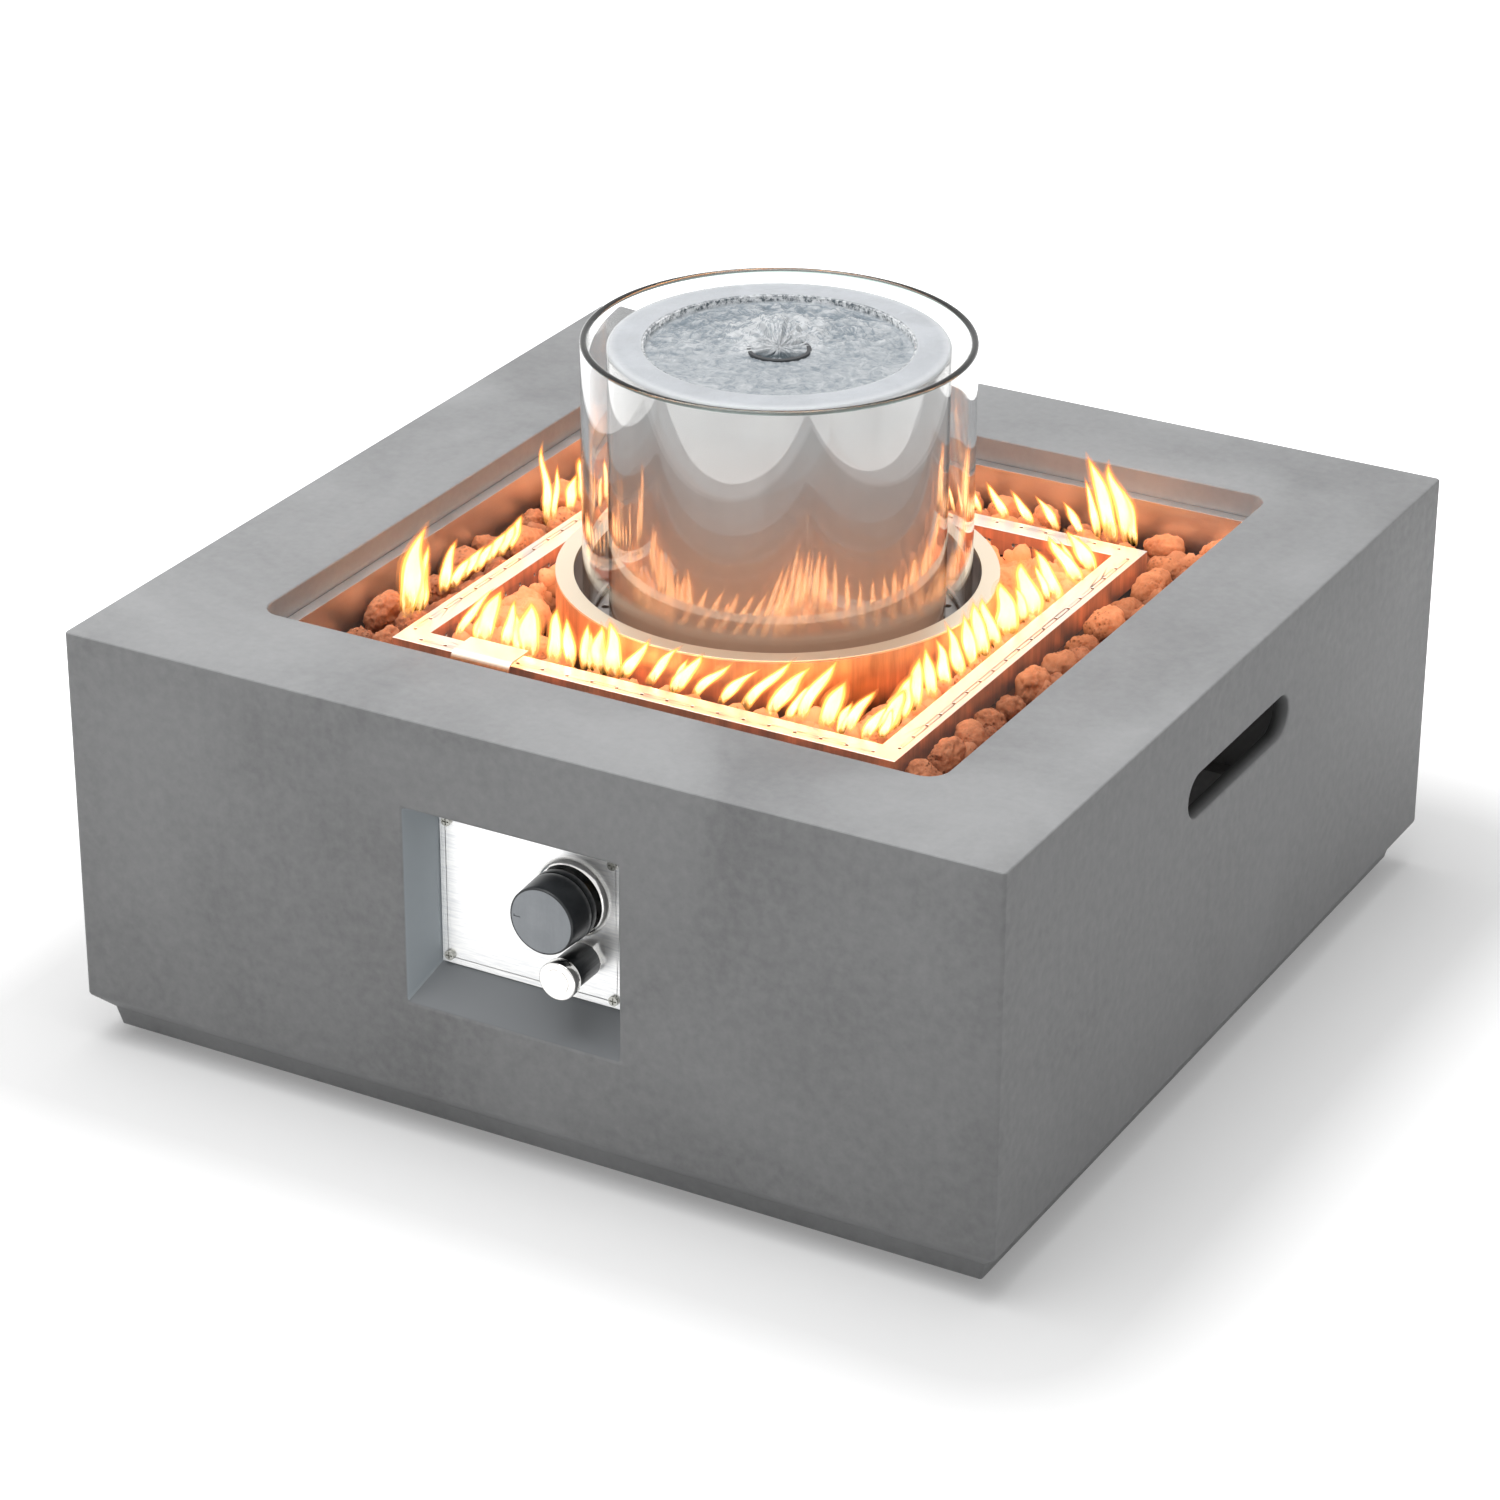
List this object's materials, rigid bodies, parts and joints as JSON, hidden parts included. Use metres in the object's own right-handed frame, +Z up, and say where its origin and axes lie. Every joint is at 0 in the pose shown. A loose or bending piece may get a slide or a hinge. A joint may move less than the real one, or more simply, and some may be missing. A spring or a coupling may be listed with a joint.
{
  "type": "gas fire pit",
  "caption": "Square concrete gas fire pit: sunken bowl of lava rock with a square tube burner, and a clear glass column with a water-covered drum rising from its centre.",
  "frame": {"origin": "on the floor under the middle of the body's footprint", "axes": "+X to the right of the control panel, -Y towards the front face with the knob, +Z up"},
  "size_m": [0.7, 0.724, 0.4694],
  "materials": {
    "concrete": "fine matt, softly mottled",
    "lava_rock": "rough, porous",
    "sheet_steel": "satin",
    "heat_steel": "bright, warmed by the flames",
    "screw_steel": "plated",
    "polished_steel": "polished",
    "drum_steel": "smooth, wet",
    "brass_fitting": "machined",
    "copper_line": "drawn",
    "black_rubber": "matt",
    "seal_rubber": "matt",
    "lead_jacket": "matt",
    "black_plastic": "satin",
    "pump_plastic": "matt",
    "knob_disc": "satin",
    "clear_pipe": "semi-matt",
    "white_ceramic": "matt",
    "battery_wrap": "smooth",
    "clear_glass": "clear, polished rim"
  },
  "bodies": {
    "fire_pit": {"rim_slab": "concrete", "bowl_ledge": "concrete", "side_walls": "concrete", "end_walls": "concrete", "plinth_band": "concrete", "foot_pads": "black_rubber", "foot_screws": "screw_steel", "fire_bowl": "sheet_steel", "burner_frame": "heat_steel", "burner_brackets": "sheet_steel", "burner_inlet": "brass_fitting", "inlet_locknut": "screw_steel", "air_mixer": "sheet_steel", "gas_orifice": "brass_fitting", "burner_hose": "sheet_steel", "electrode_shield": "heat_steel", "electrode_ceramic": "white_ceramic", "electrode_tip": "sheet_steel", "electrode_lead": "lead_jacket", "thermocouple_probe": "copper_line", "thermocouple_lead": "copper_line", "control_panel": "sheet_steel", "panel_screws": "screw_steel", "gas_valve": "brass_fitting", "knob_bezel": "polished_steel", "igniter_barrel": "black_plastic", "igniter_nut": "polished_steel", "igniter_battery": "battery_wrap", "igniter_collar": "polished_steel", "supply_pipe": "sheet_steel", "gas_inlet": "brass_fitting", "gas_inlet_nut": "brass_fitting", "service_plate": "sheet_steel", "service_screws": "screw_steel", "power_socket": "black_plastic", "power_socket_nut": "screw_steel", "ring_wall": "heat_steel", "water_basin": "sheet_steel", "deck_plate": "sheet_steel", "glass_gasket": "seal_rubber", "drum_sleeve": "drum_steel", "drum_cap": "drum_steel", "fountain_nozzle": "pump_plastic", "riser_pipe": "clear_pipe", "water_pump": "pump_plastic", "pump_feet": "seal_rubber", "pump_cable": "lead_jacket", "cable_grommet": "seal_rubber", "rocks_front": "lava_rock", "rocks_back": "lava_rock", "rocks_left": "lava_rock", "rocks_right": "lava_rock", "rocks_corners": "lava_rock"},
    "valve_plunger_body": {"valve_plunger": "brass_fitting"},
    "knob": {"valve_stem": "brass_fitting", "control_knob": "black_plastic", "knob_face": "knob_disc"},
    "push_button": {"igniter_button": "polished_steel"},
    "glass": {"glass_cylinder": "clear_glass"}
  },
  "joints": [
    {"name": "knob_push", "type": "slide", "parent": "fire_pit", "child": "valve_plunger_body", "axis": [0, 1, 0], "range_m": [0, 0.003], "stiffness_N_per_m": 1500},
    {"name": "knob_turn", "type": "hinge", "parent": "valve_plunger_body", "child": "knob", "pos_m": [0.0275, -0.35, 0.19675], "axis": [0, -1, 0], "range_deg": [0, 180]},
    {"name": "button_push", "type": "slide", "parent": "fire_pit", "child": "push_button", "axis": [0, 1, 0], "range_m": [0, 0.003], "stiffness_N_per_m": 800},
    {"name": "glass_lift", "type": "slide", "parent": "fire_pit", "child": "glass", "axis": [0, 0, 1], "range_m": [0, 0.21]}
  ]
}
